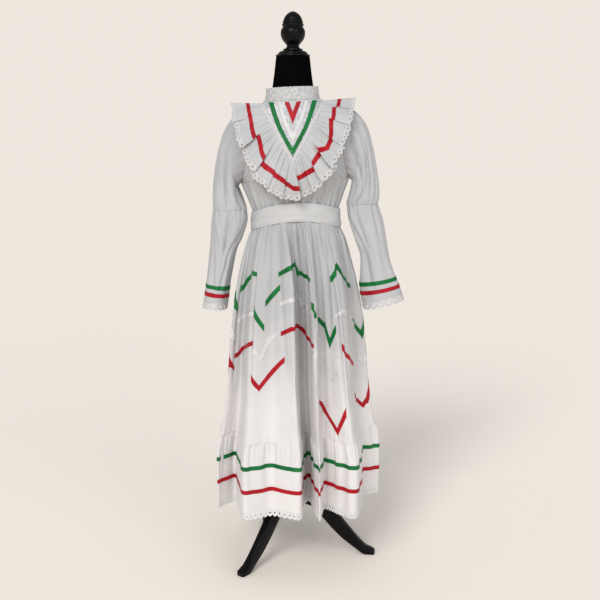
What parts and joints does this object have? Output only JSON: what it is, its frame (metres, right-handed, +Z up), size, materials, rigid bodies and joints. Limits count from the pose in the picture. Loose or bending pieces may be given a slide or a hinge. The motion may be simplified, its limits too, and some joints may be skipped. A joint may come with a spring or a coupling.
{
  "type": "folklorico dress on dress form",
  "caption": "Long-sleeved folk dress with ribbon zigzags, a ruffled yoke and a lace hem, on a limbless dress form with a curved wooden tripod stand.",
  "frame": {"origin": "on the floor, under the middle of the whole", "axes": "+Z up, -Y towards someone who looks at the front of the dress, +X on that person's right"},
  "size_m": [0.611, 0.571, 1.672],
  "materials": {
    "cotton": "soft white cotton, matt, fine plain weave",
    "lace": "white cotton eyelet lace, matt",
    "green_satin": "green satin ribbon, soft gloss",
    "red_satin": "red satin ribbon, soft gloss",
    "white_satin": "white satin ribbon with clear sequins",
    "black_jersey": "black jersey drawn tight over a hard form",
    "black_lacquer": "turned and shaped wood in black lacquer, half gloss"
  },
  "bodies": {
    "root": {"skirt_front": "cotton", "skirt_back": "cotton", "flounce_front": "cotton", "flounce_back": "cotton", "hem_lace_front": "lace", "hem_lace_back": "lace", "skirt_ribbon_green": "green_satin", "skirt_ribbon_red": "red_satin", "flounce_ribbon_green": "green_satin", "flounce_ribbon_red": "red_satin", "bodice_front": "cotton", "bodice_back": "cotton", "yoke_front": "cotton", "yoke_ribbon_green": "green_satin", "yoke_ribbon_white": "white_satin", "yoke_ribbon_red": "red_satin", "yoke_edge_trim": "lace", "yoke_ruffle": "cotton", "yoke_ruffle_ribbon": "red_satin", "yoke_ruffle_lace": "lace", "collar_stand": "lace", "sash": "cotton", "sleeve_upper_left": "cotton", "sleeve_upper_right": "cotton", "sleeve_lower_left": "cotton", "sleeve_lower_right": "cotton", "cuff_ribbon_green_left": "green_satin", "cuff_ribbon_green_right": "green_satin", "cuff_ribbon_red_left": "red_satin", "cuff_ribbon_red_right": "red_satin", "cuff_lace_left_a": "lace", "cuff_lace_left_b": "lace", "cuff_lace_right_a": "lace", "cuff_lace_right_b": "lace", "form_torso": "black_jersey", "neck_cap": "black_lacquer", "finial": "black_lacquer", "stand_hub": "black_lacquer", "stand_pole": "black_lacquer", "stand_leg_1": "black_lacquer", "stand_leg_2": "black_lacquer", "stand_leg_3": "black_lacquer"}
  },
  "joints": []
}
